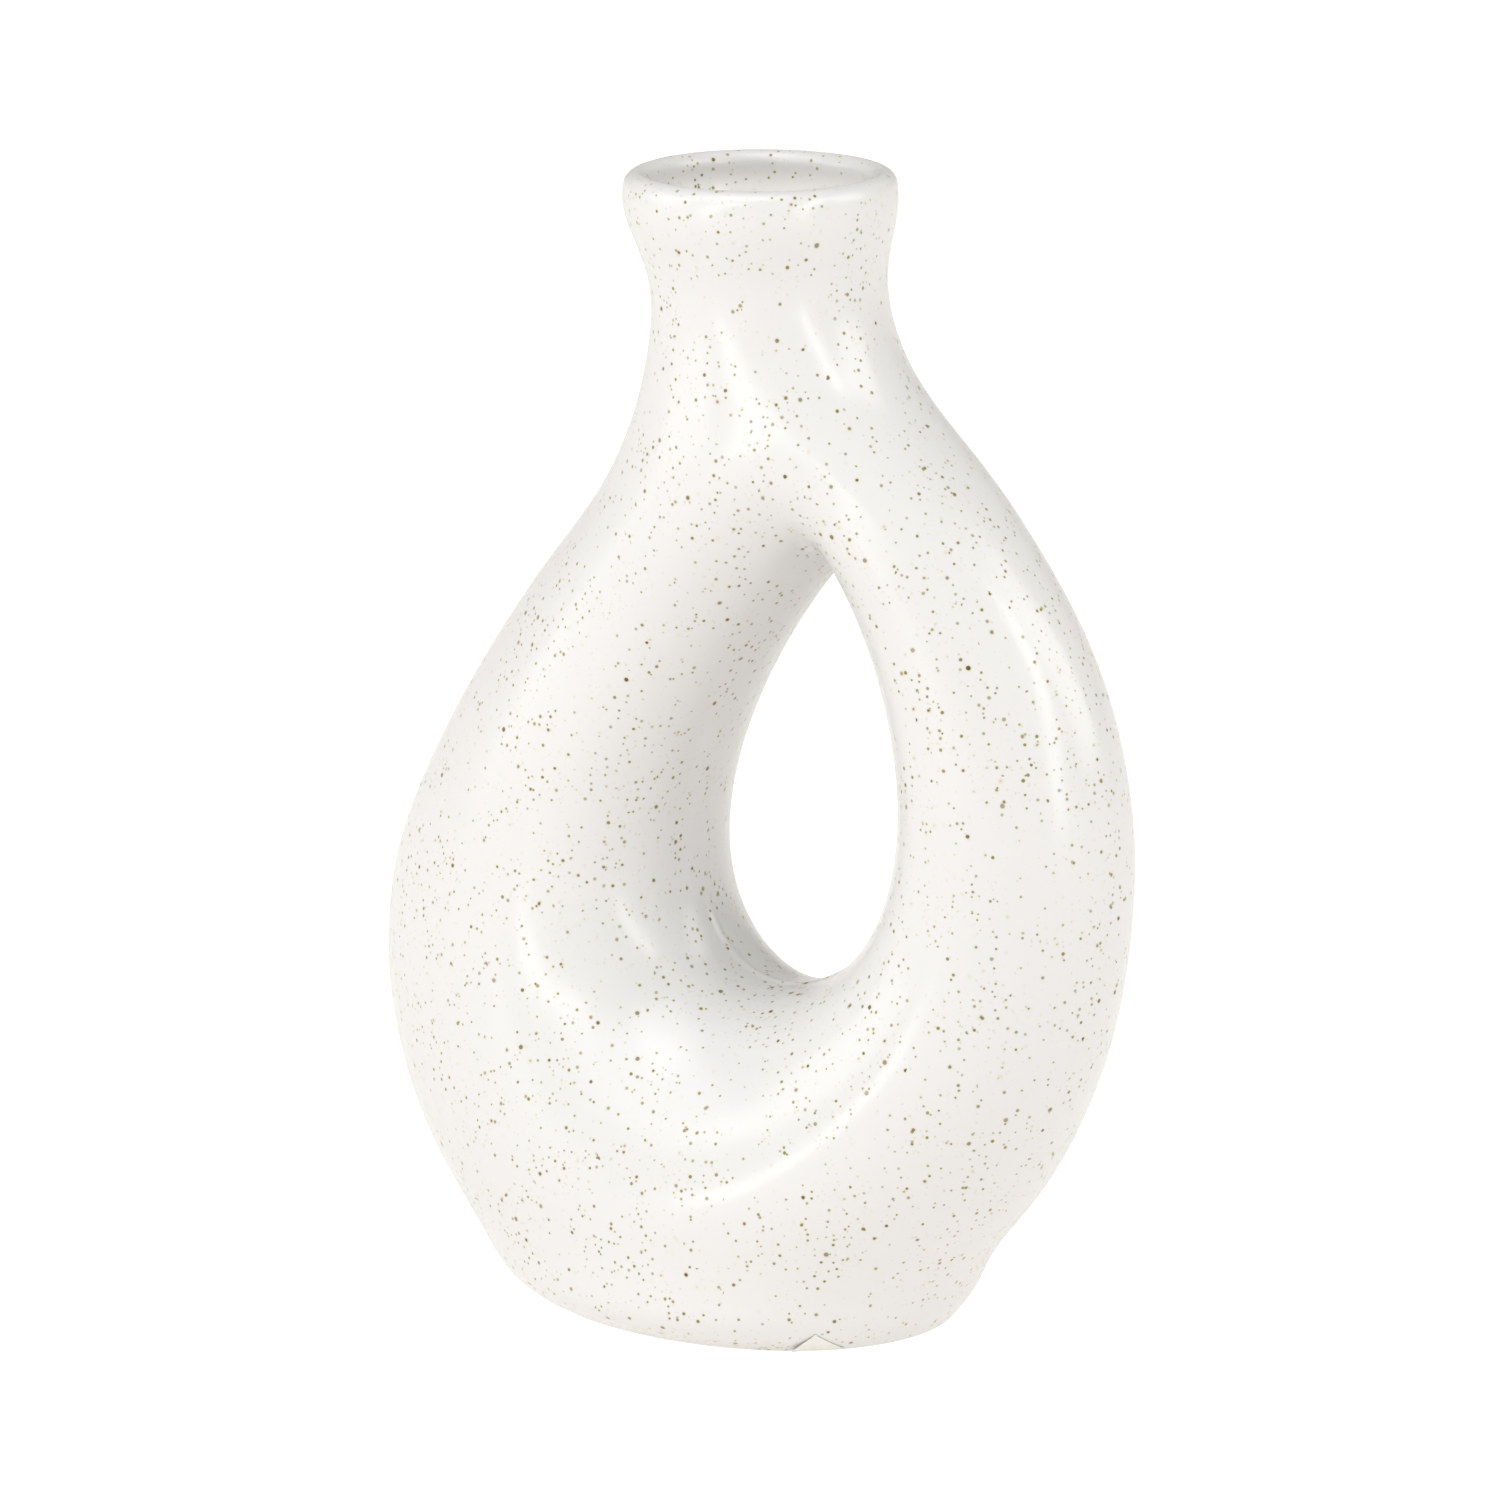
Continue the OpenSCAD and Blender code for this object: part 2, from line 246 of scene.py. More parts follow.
class Grid:
    """Lines of points over one side of the body: along the neck and foot tubes, then to the hole."""

    def __init__(self, fineness):
        self.n_side = N_SIDE * fineness
        self.n_across = N_ACROSS * fineness
        self.n_foot = N_FOOT * fineness
        self.n_tube = N_TUBE * fineness
        n_row = N_ROW * fineness
        # The first and the last row are split in three
        ends = np.linspace(0, 1, 4)[1:-1] / n_row
        self.rows = np.sort(np.concatenate([np.linspace(0, 1, n_row + 1), ends, 1 - ends]))
        self.left_top = self.n_side
        self.right_top = self.left_top + self.n_across
        self.right_low = self.right_top + self.n_side
        self.n_col = self.right_low + self.n_foot
        self.n_line = self.n_tube + len(self.rows)
        self.loop_u, self.loop_z = self.outline_loop()
        self.angles = self.hole_angles()

    def outline_loop(self):
        """Up the left side, across the neck, down the right side and across the foot."""
        up = np.arange(self.n_side) / self.n_side
        across = np.arange(self.n_across) / self.n_across
        back = np.arange(self.n_foot) / self.n_foot
        rise = NECK_Z - FOOT_Z
        u = [-np.ones(self.n_side), -np.cos(np.pi * across), np.ones(self.n_side), np.cos(np.pi * back)]
        z = [FOOT_Z + rise * up, np.full(self.n_across, NECK_Z), NECK_Z - rise * up]
        return np.concatenate(u), np.concatenate(z + [np.full(self.n_foot, FOOT_Z)])

    def hole_angles(self):
        """Angle of the point of the hole's edge that lies in the same direction as each loop point."""
        a = np.linspace(-math.pi + 1e-6, math.pi - 1e-6, N_ANGLE)
        facing = direction(*unplace(hole_edge(a, 0), 0))
        wanted = direction(self.loop_u, self.loop_z)
        found = np.interp(wanted, facing, a)
        found[np.argmin(np.abs(found))] = 0
        return found

    def sheet(self, g, side, ridge=0.0):
        """Front or rear surface at depth g, with a raised mould seam in the hole if ridge is not 0."""
        return np.concatenate([self.tube(g, side), self.face(g, side, ridge)], axis=1)

    def tube(self, g, side):
        share = ease_in(np.arange(self.n_tube) / self.n_tube)[None, :]
        i = np.arange(self.n_col)
        low = ((i >= self.right_low) | (i == 0))[:, None]
        z = np.where(low, FOOT_Z * share, top(g) - (top(g) - NECK_Z) * share)
        u = np.broadcast_to(self.loop_u[:, None], z.shape)
        x = place(u, z, g)
        distance = distance_to_hole(np.stack([x, z], axis=-1), g)
        return np.stack([x, side * half_depth(u, z, distance, g), z], axis=-1)

    def face(self, g, side, ridge):
        rim = hole_edge(self.angles, g)
        rim_u, rim_z = unplace(rim, g)
        share = ease(self.rows)[None, :]
        u = self.loop_u[:, None] + (rim_u - self.loop_u)[:, None] * share
        z = self.loop_z[:, None] + (rim_z - self.loop_z)[:, None] * share
        x = place(u, z, g)
        distance = distance_to_hole(np.stack([x, z], axis=-1), g)
        distance[:, -1] = 0
        y = half_depth(u, z, distance, g)
        if ridge:
            low = np.clip(RIDGE_FADE - np.cos(self.angles), 0, 1)[:, None]
            raised = low * (hole_edge(self.angles, g - ridge) - rim)
            weight = np.exp(-((y / RIDGE_W) ** 2)) * (self.rows > 0.5)
            x = x + raised[:, None, 0] * weight
            z = z + raised[:, None, 1] * weight
        return np.stack([x, side * y, z], axis=-1)

    def numbers(self, k, i, j):
        """Number of the point on line i, place j, of sheet k of a solid. Borders are lists of these."""
        return (k * self.n_col + np.asarray(i) % self.n_col) * self.n_line + np.asarray(j)

    def hole_border(self, k):
        return self.numbers(k, np.arange(self.n_col + 1), self.n_line - 1)

    def mouth_border(self, k):
        return self.numbers(k, np.arange(self.left_top, self.right_top + 1), 0)

    def foot_border(self, k, j):
        return self.numbers(k, np.arange(self.right_low, self.n_col + 1), j)

    def left_border(self, k, j):
        low = self.numbers(k, 0, np.arange(j, self.n_tube))
        side = self.numbers(k, np.arange(self.left_top + 1), self.n_tube)
        high = self.numbers(k, self.left_top, np.arange(self.n_tube)[::-1])
        return np.concatenate([low, side, high])

    def right_border(self, k, j):
        high = self.numbers(k, self.right_top, np.arange(self.n_tube))
        side = self.numbers(k, np.arange(self.right_top, self.right_low + 1), self.n_tube)
        low = self.numbers(k, self.right_low, np.arange(j, self.n_tube)[::-1])
        return np.concatenate([high, side, low])

    def sheet_faces(self, k, foot_row):
        i, j = np.meshgrid(np.arange(self.n_col), np.arange(self.n_line - 1), indexing="ij")
        neck = (i >= self.left_top) & (i < self.right_top)
        foot = (i >= self.right_low) & (j >= foot_row)
        kept = (j >= self.n_tube) | neck | foot
        i, j = i[kept], j[kept]
        corners = [(i, j), (i, j + 1), (i + 1, j + 1), (i + 1, j)]
        return np.stack([self.numbers(k, a, b) for a, b in corners], axis=-1)


def distance_to_hole(points, g):
    """Nearest distance of each point of a plane grid to the edge of the hole."""
    rim = hole_edge(np.linspace(-math.pi, math.pi, N_RIM), g)
    start, along = rim[:-1], np.diff(rim, axis=0)
    length = np.sum(along**2, axis=1)
    nearest = np.full(points.shape[:2], np.inf)
    for a, v, square in zip(start, along, length):
        share = np.clip(((points - a) @ v) / square, 0, 1)
        gap = points - a - share[..., None] * v
        nearest = np.minimum(nearest, np.hypot(gap[..., 0], gap[..., 1]))
    return nearest


def half_depth(u, z, distance, g):
    """Half depth of the body over a point, rolled down to half the seam at the hole."""
    below_tip = np.clip((HOLE_Z + HOLE_H / 2 - z) / HOLE_H, 0, 1)
    near = np.minimum(1, distance / (ROLL_TIP + (ROLL_BOTTOM - ROLL_TIP) * below_tip))
    return edge(DEEP, z, g) * round_off(u) * np.sqrt(1 - (1 - near) ** ROLL_POWER) + SEAM / 2


def strip(a, b):
    """Faces between two borders of equally many points."""
    return np.stack([a[:-1], a[1:], b[1:], b[:-1]], axis=-1)


def flip(faces):
    """The same faces, looking the other way."""
    return np.asarray(faces)[..., ::-1]


# ---------------------------------------------------------------- pieces

# Points closer than this are joined
WELD = 0.001
# Mould ridge on the glaze inside the hole: its height and width, and where it fades out upwards
RIDGE_H = 0.3
RIDGE_W = 0.8
RIDGE_FADE = 0.15

# Recess under the slab, the flat ring round it, and how round the slab's edges are rubbed
RECESS = 1.2
REST_W = 5
SOFT_EDGE = 0.5
SOFT_STEP = 0.15
RECESS_RUN = 4
RECESS_EDGE = 0.4
RECESS_STEP = 0.3
# An inset this large draws an outline in to its middle, to this share of its size
FAR_IN = 1000
CENTRE_SHARE = 0.002

# Blank label, and its corner folded up over the foot: angles from +X round the foot, and heights
LABEL_W = 22
LABEL_ROUND = 2
LABEL_EDGE = 0.5
LABEL_LIE = 0.01
PAPER = 0.15
TAB_ANGLE = 44
TAB_SPREAD = 7.5
TAB_LOW = 0.3
TAB_HIGH = 4.9
TAB_GAP = 0.05
TAB_LIFT = 0.5
TAB_TIP = 0.03
N_TAB = 13


def volume(points, faces):
    """Signed volume of a closed mesh of quads, positive if its faces look outwards."""
    a, b, c, d = (points[faces[:, k]] for k in range(4))
    halves = np.einsum("ij,ij->i", a, np.cross(b, c)) + np.einsum("ij,ij->i", a, np.cross(c, d))
    return halves.sum() / 6


def weld(mesh):
    """Join points that lie on each other, as they do along the crest of a shell's lip."""
    shape = bmesh.new()
    shape.from_mesh(mesh)
    bmesh.ops.remove_doubles(shape, verts=shape.verts, dist=WELD * MM)
    shape.to_mesh(mesh)
    shape.free()


def make_piece(name, node, points, faces, material, sharp=40):
    """A closed smooth mesh that stands for a CAD node."""
    points = np.asarray(points).reshape(-1, 3)
    if volume(points, faces) < 0:
        faces = flip(faces)
    mesh = bpy.data.meshes.new(name)
    mesh.from_pydata((points * MM).tolist(), [], faces.tolist())
    mesh.validate()
    weld(mesh)
    mesh.polygons.foreach_set("use_smooth", [True] * len(mesh.polygons))
    mesh.set_sharp_from_angle(angle=math.radians(sharp))
    mesh.materials.append(material)
    piece = bpy.data.objects.new(name, mesh)
    bpy.context.scene.collection.objects.link(piece)
    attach(piece, "root")
    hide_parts(node)
    return piece


def half_shell(name, node, side, material):
    """One half of the stoneware, between its outside and its inside."""
    grid = Grid(2)

    def border(k):
        runs = [
            grid.left_border(k, 0),
            grid.mouth_border(k),
            grid.right_border(k, 0),
            grid.foot_border(k, 0),
        ]
        return np.concatenate([run[:-1] for run in runs] + [runs[0][:1]])

    faces = np.concatenate(
        [
            grid.sheet_faces(0, 0),
            flip(grid.sheet_faces(1, 0)),
            strip(border(0), border(1)),
            strip(grid.hole_border(1), grid.hole_border(0)),
        ]
    )
    points = np.concatenate([grid.sheet(0, side), grid.sheet(WALL, side)])
    return make_piece(name, node, points, faces, material)


def skin(name, node, near, far, foot_row, fineness, material, ridge=0.0):
    """A glaze over both halves between two depths, open at the mouth and the foot."""
    grid = Grid(fineness)
    row = foot_row * grid.n_tube

    def corner(i, j):
        return np.array([[grid.numbers(k, i, j) for k in (0, 1, 3, 2)]])

    faces = np.concatenate(
        [
            grid.sheet_faces(0, row),
            flip(grid.sheet_faces(1, row)),
            flip(grid.sheet_faces(2, row)),
            grid.sheet_faces(3, row),
            strip(grid.left_border(0, row), grid.left_border(2, row)),
            strip(grid.left_border(3, row), grid.left_border(1, row)),
            strip(grid.right_border(0, row), grid.right_border(2, row)),
            strip(grid.right_border(3, row), grid.right_border(1, row)),
            strip(grid.hole_border(2), grid.hole_border(0)),
            strip(grid.hole_border(1), grid.hole_border(3)),
            strip(grid.mouth_border(0), grid.mouth_border(1)),
            strip(grid.mouth_border(3), grid.mouth_border(2)),
            strip(grid.foot_border(0, row), grid.foot_border(1, row)),
            strip(grid.foot_border(3, row), grid.foot_border(2, row)),
            corner(grid.left_top, 0),
            flip(corner(grid.right_top, 0)),
            corner(grid.right_low, row),
            flip(corner(0, row)),
        ]
    )
    sheets = [(near, FRONT, ridge), (far, FRONT, 0), (near, REAR, ridge), (far, REAR, 0)]
    points = np.concatenate([grid.sheet(g, side, high) for g, side, high in sheets])
    return make_piece(name, node, points, faces, material)


def sweep_faces(n, m, closed, start=0):
    """Faces of a body swept through n sections of m points, as a ring or with flat ends."""
    i, j = np.meshgrid(np.arange(n if closed else n - 1), np.arange(m), indexing="ij")
    corners = [(i, j), (i, j + 1), (i + 1, j + 1), (i + 1, j)]
    faces = np.stack([start + (a % n) * m + b % m for a, b in corners], axis=-1).reshape(-1, 4)
    if closed:
        return faces
    ends = start + np.array([[3, 2, 1, 0], [0, 1, 2, 3]]) + np.array([[0], [(n - 1) * m]])
    return np.concatenate([faces, ends])


def seam_slip(name, node, material):
    """Slip between the halves: a bar up each side and a ring round the hole."""
    grid = Grid(2)
    outer, inner = (grid.sheet(g, FRONT).reshape(-1, 3) for g in (0, WALL))
    mirrored = np.array([1, -1, 1])
    runs = [
        (grid.left_border(0, 0), False),
        (grid.right_border(0, 0), False),
        (grid.hole_border(0)[:-1], True),
    ]
    points = []
    faces = []
    start = 0
    for run, closed in runs:
        out, back = outer[run], inner[run]
        body = np.stack([out, out * mirrored, back * mirrored, back], axis=1).reshape(-1, 3)
        rings = sweep_faces(len(run), 4, closed)
        if volume(body, rings) < 0:
            rings = flip(rings)
        points.append(body)
        faces.append(rings + start)
        start += len(body)
    return make_piece(name, node, np.concatenate(points), np.concatenate(faces), material, 30)


def turned(name, node, outline, profile, material, sharp=40):
    """A flat body with a rounded edge: an outline drawn in by each profile distance at each height."""
    centre = outline.mean(axis=0)
    away = outline - centre
    length = np.linalg.norm(away, axis=1, keepdims=True)
    loops = []
    for inset, z in profile:
        ring = centre + away * np.maximum(CENTRE_SHARE, 1 - inset / length)
        loops.append(np.column_stack([ring, np.full(len(ring), z)]))
    n, m = len(loops), len(outline)
    faces = sweep_faces(n, m, True)
    return make_piece(name, node, np.concatenate(loops), faces, material, sharp)


def slab_outline(count=240):
    """The oval that the CAD slab fills."""
    middle_x, half_x = (slab_low[0] + slab_high[0]) / 2, (slab_high[0] - slab_low[0]) / 2
    a = 2 * np.pi * np.arange(count) / count
    y = slab_high[1] * round_off(np.cos(a)) * np.sign(np.sin(a))
    return np.column_stack([middle_x + half_x * np.cos(a), y])


def slab(name, node, material):
    """Base slab with a shallow recess, its edges rubbed round with a sponge."""
    profile = [
        (FAR_IN, RECESS),
        (REST_W + RECESS_RUN, RECESS),
        (REST_W + RECESS_EDGE, RECESS),
        (REST_W, RECESS - RECESS_STEP),
        (REST_W, SOFT_EDGE),
        (REST_W - SOFT_STEP, SOFT_STEP),
        (REST_W - SOFT_EDGE, 0),
        (SOFT_EDGE, 0),
        (SOFT_STEP, SOFT_STEP),
        (0, SOFT_EDGE),
        (0, SLAB_H - SOFT_EDGE),
        (SOFT_EDGE, SLAB_H),
        (FAR_IN, SLAB_H),
    ]
    return turned(name, node, slab_outline(), profile, material)


def label_sheet(name, node, material):
    """Blank square label with rounded corners, stuck in the recess."""
    side, corner = LABEL_W / 2 - LABEL_ROUND, LABEL_ROUND
    points = []
    for quarter in range(4):
        turn = math.radians(90 * quarter + 45)
        for a in np.linspace(0, math.pi / 2, 9):
            x = side + corner * math.cos(a)
            y = side + corner * math.sin(a)
            turned_x = x * math.cos(turn) - y * math.sin(turn)
            turned_y = x * math.sin(turn) + y * math.cos(turn)
            points.append((turned_x, turned_y))
    outline = np.array(points) + np.array([middle(0.0, 0), 0])
    high = RECESS - LABEL_LIE
    low = RECESS - PAPER
    profile = [(FAR_IN, high), (LABEL_EDGE, high), (0, high), (0, low), (LABEL_EDGE, low), (FAR_IN, low)]
    return turned(name, node, outline, profile, material)


def label_corner(name, node, material):
    """Corner of the label, folded up over the front of the foot."""
    count = N_TAB
    rows, columns = np.meshgrid(np.linspace(0, 1, count), np.linspace(-1, 1, count), indexing="ij")
    z = TAB_LOW + (TAB_HIGH - TAB_LOW) * rows
    a = np.radians(TAB_ANGLE + TAB_SPREAD * columns * np.maximum(TAB_TIP, 1 - rows))
    lift = TAB_LIFT * np.maximum(0, columns) ** 3 * (1 - rows)
    under_paper = -GLAZE - TAB_GAP
    sheets = []
    for g in (under_paper, under_paper - PAPER):
        y = -edge(DEEP, z, g - lift) * round_off(np.cos(a)) - SEAM / 2
        sheets.append(np.stack([place(np.cos(a), z, g - lift), y, z], axis=-1).reshape(-1, 3))
    i, j = np.meshgrid(np.arange(count - 1), np.arange(count - 1), indexing="ij")
    corners = [(i, j), (i, j + 1), (i + 1, j + 1), (i + 1, j)]
    under = np.stack([a * count + b for a, b in corners], axis=-1).reshape(-1, 4)
    last = count * (count - 1)
    step = np.arange(count)
    # Round the sheet: its first row, right column, last row and left column, back to the start
    right = step[1:] * count + count - 1
    back = (last + step[:-1])[::-1]
    down = (step[1:-1] * count)[::-1]
    rim = np.concatenate([step, right, back, down, [0]])
    over = flip(under + count * count)
    faces = np.concatenate([under, over, strip(rim + count * count, rim)])
    return make_piece(name, node, np.concatenate(sheets), faces, material, 30)


# ---------------------------------------------------------------- materials

# Most of a noise texture's values lie between these
NOISE_LOW, NOISE_HIGH = 0.3, 0.7

WHITE = (0.668, 0.666, 0.664)
# Lighter, warmer white, painted inside the mouth as light falling into it
PAINTED_LIGHT_WHITE = (0.90, 0.885, 0.865)
# Painted light inside the mouth: the lighter, warmer white ends this far below the top of the body, and
# starts to fade that far below it
PAINTED_LIGHT_END, PAINTED_LIGHT_START = 1, 7
CLOUD_TINT = (0.9, 0.75, 0.45)
CLOUD_COVER = 0.03
GLAZE_IOR = 1.5
SPECK_ROUGHNESS = 0.12
FINE_RIPPLE = 0.12
SPECK_DIP = 0.10
RIPPLE_DEPTH = 0.12

# Iron specks: cell, least and greatest radius in millimetres, share of the cells that hold one,
# softness of the edge, shift of the pattern, how much it covers, and colour. Kinds with the same
# cell and shift fall on the same places: a ring lies round a plain speck, a halo round a bold one.
SPECKS = {
    "ring": (1.35, 0.50, 0.80, 0.55, 0.90, 0.037, 0.45, (0.58, 0.54, 0.24)),
    "halo": (2.60, 0.70, 1.05, 0.36, 0.90, 0.071, 0.60, (0.60, 0.47, 0.16)),
    "faint": (1.15, 0.20, 0.36, 0.60, 0.70, 0.013, 0.42, (0.42, 0.40, 0.24)),
    "plain": (1.35, 0.26, 0.46, 0.55, 0.40, 0.037, 0.95, (0.17, 0.135, 0.012)),
    "bold": (2.60, 0.38, 0.60, 0.36, 0.35, 0.071, 0.98, (0.085, 0.060, 0.004)),
}
# How far a speck's outline wobbles, as a share of its least radius, and how finely
WOBBLE = 0.45
WOBBLE_PER_METRE = 900
# Small specks are commoner than large ones by this power, and the palest has this strength
SIZE_POWER = 2.2
LEAST_STRENGTH = 0.55


class Nodes:
    """Short names for building one material's node tree."""

    def __init__(self, name):
        self.material = bpy.data.materials.new(name)
        self.material.use_nodes = True
        self.tree = self.material.node_tree
        self.shader = self.tree.nodes["Principled BSDF"]
        self.place = self.add("ShaderNodeTexCoord").outputs["Object"]

    def add(self, kind, **settings):
        node = self.tree.nodes.new(kind)
        for key, value in settings.items():
            setattr(node, key, value)
        return node

    def plug(self, value, socket):
        if isinstance(value, bpy.types.NodeSocket):
            self.tree.links.new(value, socket)
        else:
            socket.default_value = value

    def math(self, operation, a, b=0.0, c=0.0, clamp=False):
        node = self.add("ShaderNodeMath", operation=operation, use_clamp=clamp)
        for value, socket in zip((a, b, c), node.inputs):
            self.plug(value, socket)
        return node.outputs[0]

    def noise(self, per_metre, detail=2.0, roughness=0.5, place=None):
        node = self.add("ShaderNodeTexNoise")
        self.plug(place or self.place, node.inputs["Vector"])
        node.inputs["Scale"].default_value = per_metre
        node.inputs["Detail"].default_value = detail
        node.inputs["Roughness"].default_value = roughness
        return node.outputs["Fac"]

    def remap(self, value, low, high, to_low=0.0, to_high=1.0, smooth=True):
        node = self.add("ShaderNodeMapRange", interpolation_type="SMOOTHSTEP" if smooth else "LINEAR")
        for item, socket in zip((value, low, high, to_low, to_high), node.inputs):
            self.plug(item, socket)
        return node.outputs["Result"]

    def mix(self, share, a, b):
        node = self.add("ShaderNodeMix", data_type="RGBA")
        self.plug(share, node.inputs[0])
        self.plug(a, node.inputs[6])
        self.plug(b, node.inputs[7])
        return node.outputs[2]

    def shifted(self, offset, wobble, per_metre):
        """Coordinates moved aside and wobbled by noise, so that spots lose their round outline."""
        noise = self.add("ShaderNodeTexNoise")
        self.plug(self.place, noise.inputs["Vector"])
        noise.inputs["Scale"].default_value = per_metre
        centred = self.add("ShaderNodeVectorMath", operation="SUBTRACT")
        self.plug(noise.outputs["Color"], centred.inputs[0])
        centred.inputs[1].default_value = (0.5, 0.5, 0.5)
        scaled = self.add("ShaderNodeVectorMath", operation="MULTIPLY_ADD")
        self.plug(centred.outputs[0], scaled.inputs[0])
        scaled.inputs[1].default_value = (wobble, wobble, wobble)
        self.plug(self.place, scaled.inputs[2])
        moved = self.add("ShaderNodeVectorMath", operation="ADD")
        self.plug(scaled.outputs[0], moved.inputs[0])
        moved.inputs[1].default_value = (offset, 2 * offset, -offset)
        return moved.outputs[0]

    def specks(self, cell, small, large, share, soft, offset, clumps=None):
        """Mask of scattered spots: cell size and radii in metres, share of cells that hold a spot."""
        cells = self.add("ShaderNodeTexVoronoi", feature="F1", voronoi_dimensions="3D")
        self.plug(self.shifted(offset, WOBBLE * small, WOBBLE_PER_METRE), cells.inputs["Vector"])
        cells.inputs["Scale"].default_value = 1 / cell
        cells.inputs["Randomness"].default_value = 1.0
        parts = self.add("ShaderNodeSeparateColor")
        self.plug(cells.outputs["Color"], parts.inputs[0])
        distance = cells.outputs["Distance"]
        skewed = self.math("POWER", parts.outputs["Red"], SIZE_POWER)
        radius = self.remap(skewed, 0, 1, small / cell, large / cell, smooth=False)
        inner = self.math("MULTIPLY", radius, 1 - soft)
        spot = self.remap(distance, inner, radius, 1.0, 0.0)
        limit = self.math("MULTIPLY", clumps, share) if clumps else share
        kept = self.math("LESS_THAN", parts.outputs["Green"], limit)
        strength = self.remap(parts.outputs["Blue"], 0, 1, LEAST_STRENGTH, 1.0, smooth=False)
        return self.math("MULTIPLY", self.math("MULTIPLY", spot, kept), strength)

    def varied(self, per_metre, detail, low=0.0, high=1.0):
        """A value that noise takes from low to high."""
        return self.remap(self.noise(per_metre, detail), NOISE_LOW, NOISE_HIGH, low, high)

    def height_above_floor(self):
        parts = self.add("ShaderNodeSeparateXYZ")
        self.plug(self.place, parts.inputs[0])
        return parts.outputs["Z"]

    def finish(self, color, roughness, height, bump_depth):
        """Plug the surface in: bump_depth is in millimetres."""
        bump = self.add("ShaderNodeBump")
        bump.inputs["Strength"].default_value = 1.0
        bump.inputs["Distance"].default_value = bump_depth * MM
        self.plug(height, bump.inputs["Height"])
        self.plug(color, self.shader.inputs["Base Color"])
        self.plug(roughness, self.shader.inputs["Roughness"])
        self.plug(bump.outputs["Normal"], self.shader.inputs["Normal"])
        return self.material


def rgb(red, green, blue):
    return (red, green, blue, 1.0)


def speckled_glaze(name, lip_white, painted_light_white):
    """Satin white glaze with iron specks, unevenly strewn. Below the lip its colour is the second white,
    which for the liner is lighter and warmer: painted light falling into the mouth.
    """
    n = Nodes(name)
    # Painted light: below the lip the colour turns to the second white, lighter and warmer for the liner
    near_lip = n.remap(n.height_above_floor(), (BODY_H - PAINTED_LIGHT_START) * MM, (BODY_H - PAINTED_LIGHT_END) * MM)
    white = n.mix(near_lip, rgb(*painted_light_white), rgb(*lip_white))
    cloud = n.mix(CLOUD_COVER, white, rgb(*CLOUD_TINT))
    color = n.mix(n.varied(18, 3, 0.0, 0.5), white, cloud)
    clumps = n.remap(n.noise(90, 3), 0.32, 0.68, 0.35, 1.45)
    masks = {}
    for kind, (cell, small, large, share, soft, offset, cover, tint) in SPECKS.items():
        masks[kind] = n.specks(cell * MM, small * MM, large * MM, share, soft, offset, clumps)
        color = n.mix(n.math("MULTIPLY", masks[kind], cover), color, rgb(*tint))
    spots = n.math("MAXIMUM", masks["plain"], masks["bold"])
    roughness = n.math("ADD", n.varied(140, 3, 0.20, 0.25), n.math("MULTIPLY", spots, SPECK_ROUGHNESS))
    ripple = n.math("ADD", n.noise(75, 2), n.math("MULTIPLY", n.noise(420, 2), FINE_RIPPLE))
    height = n.math("SUBTRACT", ripple, n.math("MULTIPLY", spots, SPECK_DIP))
    n.shader.inputs["IOR"].default_value = GLAZE_IOR
    return n.finish(color, roughness, height, RIPPLE_DEPTH)


def bare_stoneware(name):
    """Fired clay without glaze: fine grain, grog and a few iron specks."""
    n = Nodes(name)
    grog = n.specks(1.4 * MM, 0.15 * MM, 0.40 * MM, 0.5, 0.5, 0.021)
    color = n.mix(n.varied(60, 4), rgb(0.62, 0.54, 0.43), rgb(0.70, 0.62, 0.51))
    color = n.mix(n.math("MULTIPLY", grog, 0.6), color, rgb(0.30, 0.23, 0.15))
    return n.finish(color, n.varied(300, 3, 0.72, 0.88), n.noise(1500, 4, 0.7), 0.08)


def fired_slip(name):
    """Slip and coils, a little darker and rougher than the clay."""
    n = Nodes(name)
    color = n.mix(n.varied(200, 3), rgb(0.56, 0.48, 0.37), rgb(0.64, 0.56, 0.45))
    return n.finish(color, n.varied(500, 3, 0.75, 0.9), n.noise(1200, 3), 0.06)


def label_paper(name):
    """Plain paper with a faint fibre."""
    n = Nodes(name)
    fibre = n.remap(n.noise(900, 4), 0.35, 0.65)
    color = n.mix(fibre, rgb(0.70, 0.69, 0.665), rgb(0.73, 0.72, 0.695))
    return n.finish(color, n.varied(700, 3, 0.45, 0.6), n.noise(2500, 3), 0.015)


# ---------------------------------------------------------------- stage, light and camera

# Stage in metres: radius of the flat floor, radius of its turn into the wall, height of the wall
FLOOR_R = 2.4
TURN_R = 1.2
WALL_H = 3.0
FLOOR_RINGS = (0.0, 0.6, 1.2, 1.8)
N_TURN = 17
N_AROUND = 96

# The stage looks white. It lights the vase dimly and warmly, more from the floor than the wall
STAGE_WHITE = 0.80
FLOOR_GLOW = 0.66
WALL_GLOW = 0.15
GLOW_TOP = 0.5
WORLD_GLOW = 0.26
WARM_GLOW = (1.0, 0.955, 0.90, 1.0)

# Soft lights: azimuth and elevation in degrees, distance, width and height in metres, power in
# watts, and tilt in degrees about the direction they shine in
AIM = Vector((0, 0, BODY_H / 2 * MM))
SOFTBOXES = {
    "top": (10, 74, 1.7, 1.1, 1.1, 8.5, 0),
    "front": (-14, 48, 1.8, 1.5, 1.5, 11.6, 0),
    "camera_side": (42, 12, 2.2, 1.6, 1.4, 1, 0),
    "left_window": (-52, 17, 1.7, 1.2, 1.0, 7, 0),
    "left_strip": (-3, 14, 1.6, 0.16, 1.3, 4.2, -45),
    "right_strip": (78, 20, 1.6, 0.2, 1.5, 5.8, -30),
    "right_window": (116, 25, 1.7, 0.9, 1.1, 8, 0),
}

